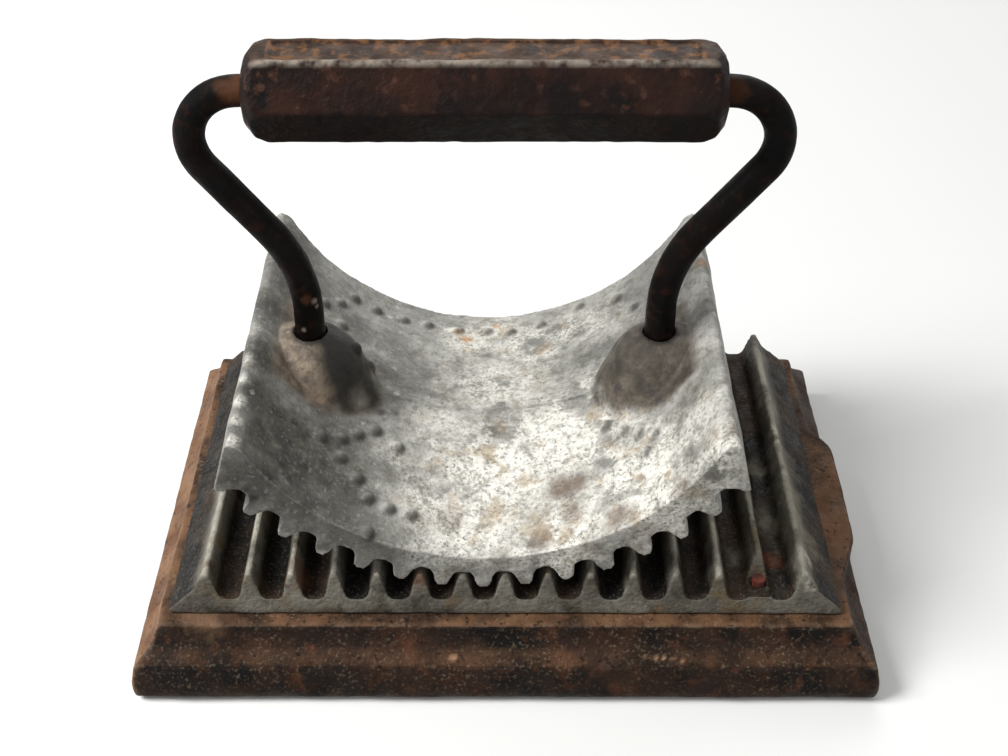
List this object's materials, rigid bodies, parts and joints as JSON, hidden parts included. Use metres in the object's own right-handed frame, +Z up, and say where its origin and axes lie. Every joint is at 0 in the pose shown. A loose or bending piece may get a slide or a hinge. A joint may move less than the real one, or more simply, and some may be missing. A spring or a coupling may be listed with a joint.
{
  "type": "rocker fluting iron",
  "caption": "Ribbed bed plate on a hollow moulded base, with a curved toothed rocker above it that tilts from side to side by a bent rod handle with a six-sided grip.",
  "frame": {"origin": "centre of the base, on the surface that it stands on", "axes": "+X along the base towards the lug, +Y away from the user along the ridges, +Z up"},
  "size_m": [0.1524, 0.1004, 0.1205],
  "materials": {
    "base_iron": "dark brown, rusted",
    "bed_iron": "dull grey-green, rusted in the grooves",
    "rivet_iron": "rusted",
    "rocker_iron": "bare, worn bright and stained",
    "rod_iron": "dark brown oxide",
    "grip_iron": "dark brown, rust in the panel"
  },
  "bodies": {
    "base": {"base_casting": "base_iron", "bed_plate": "bed_iron", "bed_rivets": "rivet_iron"},
    "rocker": {"rocker_casting": "rocker_iron", "handle_rod": "rod_iron", "grip": "grip_iron"}
  },
  "joints": [
    {"name": "rocker_rock", "type": "hinge", "parent": "base", "child": "rocker", "pos_m": [-0.00425, 0, 0.0236], "axis": [0, 1, 0], "range_deg": [-7.5, 7.5], "stiffness_Nm_per_rad": 0.48}
  ]
}
